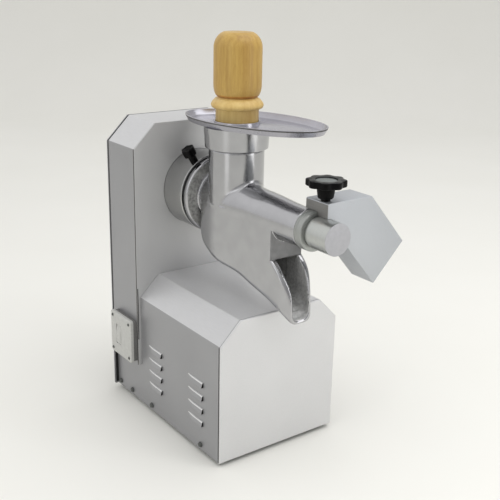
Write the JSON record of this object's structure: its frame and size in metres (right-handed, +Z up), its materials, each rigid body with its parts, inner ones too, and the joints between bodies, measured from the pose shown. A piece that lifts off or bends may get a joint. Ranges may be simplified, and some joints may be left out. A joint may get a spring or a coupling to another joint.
{
  "type": "single screw juicer",
  "caption": "Floor-standing electric screw juicer: sheet steel casing, cast press head with feed tray, wooden pusher, juice spout, nozzle and side pulp chute.",
  "frame": {"origin": "centre of the bounding box, on the floor under the rubber feet", "axes": "+Z up; -Y forwards, along the barrel to its nozzle; +X to the side where the pulp chute points"},
  "size_m": [0.2688, 0.4348, 0.599],
  "materials": {
    "brushed_sheet": "brushed stainless sheet",
    "galvanised": "plain zinc coated sheet",
    "cast_polished": "cast stainless, satin to polished",
    "folded_sheet": "bright satin stainless sheet",
    "machined_steel": "turned and milled carbon steel",
    "motor_paint": "semi-gloss dark paint",
    "black_plastic": "moulded black, low gloss",
    "pale_plastic": "moulded off-white",
    "grey_plastic": "moulded grey",
    "black_rubber": "black rubber",
    "white_silicone": "white food silicone",
    "turned_wood": "oiled turned hardwood",
    "dark_screw": "blackened steel"
  },
  "bodies": {
    "base": {"base_pan": "galvanised", "foot_front_left": "black_rubber", "foot_front_right": "black_rubber", "foot_rear_left": "black_rubber", "foot_rear_right": "black_rubber", "low_housing": "brushed_sheet", "tall_casing": "brushed_sheet", "back_cover": "brushed_sheet", "frame_plate": "galvanised", "rear_bearing_plate": "galvanised", "main_bearing_front": "machined_steel", "main_bearing_rear": "machined_steel", "counter_bearing_front": "machined_steel", "counter_bearing_rear": "machined_steel", "motor_body": "motor_paint", "motor_cradle": "galvanised", "run_capacitor": "black_plastic", "cable_gland": "black_plastic", "switch_box": "grey_plastic", "switch_plate": "pale_plastic", "mount_collar": "cast_polished", "v_belt": "black_rubber", "side_screw_left_1": "dark_screw", "side_screw_right_1": "dark_screw", "side_screw_left_2": "dark_screw", "side_screw_right_2": "dark_screw", "side_screw_left_3": "dark_screw", "side_screw_right_3": "dark_screw", "side_screw_left_4": "dark_screw", "side_screw_right_4": "dark_screw", "cover_screw_1": "dark_screw", "cover_screw_2": "dark_screw", "cover_screw_3": "dark_screw", "cover_screw_4": "dark_screw", "switch_screw_1": "dark_screw", "switch_screw_2": "dark_screw", "switch_screw_3": "dark_screw", "switch_screw_4": "dark_screw"},
    "main_rotor": {"main_shaft": "machined_steel", "main_gear": "machined_steel"},
    "counter_rotor": {"countershaft": "machined_steel", "pinion": "machined_steel", "counter_pulley": "machined_steel"},
    "motor_rotor": {"motor_shaft": "machined_steel", "motor_pulley": "machined_steel"},
    "head": {"head_body": "cast_polished", "strainer": "cast_polished", "shaft_seal": "white_silicone"},
    "auger_rotor": {"auger": "cast_polished"},
    "lock": {"lock_knob": "black_plastic"},
    "tray": {"feed_tray": "cast_polished", "tray_socket": "cast_polished"},
    "plunger": {"pusher": "turned_wood"},
    "outlet": {"outlet_nozzle": "cast_polished"},
    "ring": {"nose_ring": "cast_polished"},
    "chute": {"pulp_chute": "folded_sheet"},
    "clamp_screw": {"star_knob": "black_plastic"},
    "rocker": {"switch_rocker": "pale_plastic"}
  },
  "joints": [
    {"name": "main_spin", "type": "hinge", "parent": "base", "child": "main_rotor", "pos_m": [-0.00893, 0.1466, 0.3555], "axis": [0, 1, 0], "continuous": true},
    {"name": "counter_spin", "type": "hinge", "parent": "base", "child": "counter_rotor", "pos_m": [-0.00893, 0.1466, 0.2651], "axis": [0, 1, 0], "continuous": true},
    {"name": "motor_spin", "type": "hinge", "parent": "base", "child": "motor_rotor", "pos_m": [-0.00893, 0.1466, 0.115], "axis": [0, 1, 0], "continuous": true},
    {"name": "head_draw", "type": "slide", "parent": "base", "child": "head", "axis": [0, -1, 0], "range_m": [0, 0.12]},
    {"name": "auger_spin", "type": "hinge", "parent": "head", "child": "auger_rotor", "pos_m": [-0.00893, -0.0334, 0.3555], "axis": [0, 1, 0], "continuous": true},
    {"name": "lock_turn", "type": "hinge", "parent": "base", "child": "lock", "pos_m": [-0.04969, 0.0746, 0.422], "axis": [-0.5225, 0, 0.8526], "range_deg": [0, 720]},
    {"name": "tray_lift", "type": "slide", "parent": "head", "child": "tray", "axis": [0, 0, 1], "range_m": [0, 0.06]},
    {"name": "plunger_stroke", "type": "slide", "parent": "tray", "child": "plunger", "axis": [0, 0, 1], "range_m": [0, 0.2]},
    {"name": "outlet_draw", "type": "slide", "parent": "head", "child": "outlet", "axis": [0, -1, 0], "range_m": [0, 0.06]},
    {"name": "ring_turn", "type": "hinge", "parent": "outlet", "child": "ring", "pos_m": [-0.00893, -0.1684, 0.3555], "axis": [0, 1, 0], "range_deg": [0, 720]},
    {"name": "chute_lift", "type": "slide", "parent": "outlet", "child": "chute", "axis": [0, 0, 1], "range_m": [0, 0.05]},
    {"name": "clamp_turn", "type": "hinge", "parent": "chute", "child": "clamp_screw", "pos_m": [-0.00113, -0.1807, 0.4], "axis": [0, 0, 1], "range_deg": [0, 1080]},
    {"name": "rocker_tilt", "type": "hinge", "parent": "base", "child": "rocker", "pos_m": [-0.12953, 0.1601, 0.114], "axis": [0, -1, 0], "range_deg": [0, 12]}
  ],
  "couplings": [
    {"joint": "counter_spin", "follows": "main_spin", "ratio": -4},
    {"joint": "motor_spin", "follows": "main_spin", "ratio": -11.85},
    {"joint": "auger_spin", "follows": "main_spin", "ratio": 1}
  ]
}
